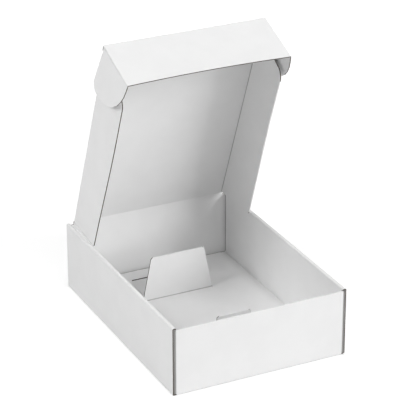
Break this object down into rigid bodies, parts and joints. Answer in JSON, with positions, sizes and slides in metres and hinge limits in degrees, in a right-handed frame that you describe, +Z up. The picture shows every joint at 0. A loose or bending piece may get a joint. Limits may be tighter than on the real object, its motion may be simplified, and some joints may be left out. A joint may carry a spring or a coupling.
{
  "type": "bottle shipping box",
  "caption": "White corrugated mailer for bottles lying side by side: a tray with rolled side walls, a hinged tuck-in lid with side flaps and ears, and an insert with upright tongues.",
  "frame": {"origin": "middle of the tray's underside", "axes": "+Z up, the front wall faces -Y, the lid's crease runs along X at the top of the rear wall on the +Y side; drawn with the lid open 68 degrees"},
  "size_m": [0.242, 0.33, 0.3872],
  "materials": {
    "white_board": "matte"
  },
  "bodies": {
    "tray": {"tray": "white_board", "insert": "white_board"},
    "lid": {"lid": "white_board"},
    "tuck_flap": {"tuck_flap": "white_board"},
    "ear_left": {"ear_left": "white_board"},
    "ear_right": {"ear_right": "white_board"}
  },
  "joints": [
    {"name": "lid_hinge", "type": "hinge", "parent": "tray", "child": "lid", "pos_m": [0, 0.1642, 0.0932], "axis": [-1, 0, 0], "range_deg": [-68, 112]},
    {"name": "tuck_hinge", "type": "hinge", "parent": "lid", "child": "tuck_flap", "pos_m": [0, 0.04575, 0.38638], "axis": [-1, 0, 0], "range_deg": [-7, 12]},
    {"name": "ear_left_hinge", "type": "hinge", "parent": "tuck_flap", "child": "ear_left", "pos_m": [-0.112, 0.04575, 0.38638], "axis": [0, 0.9272, 0.3746], "range_deg": [-7, 12]},
    {"name": "ear_right_hinge", "type": "hinge", "parent": "tuck_flap", "child": "ear_right", "pos_m": [0.112, 0.04575, 0.38638], "axis": [0, -0.9272, -0.3746], "range_deg": [-7, 12]}
  ],
  "couplings": [
    {"joint": "tuck_hinge", "follows": "lid_hinge", "ratio": 0.1},
    {"joint": "ear_left_hinge", "follows": "lid_hinge", "ratio": 0.1},
    {"joint": "ear_right_hinge", "follows": "lid_hinge", "ratio": 0.1}
  ]
}
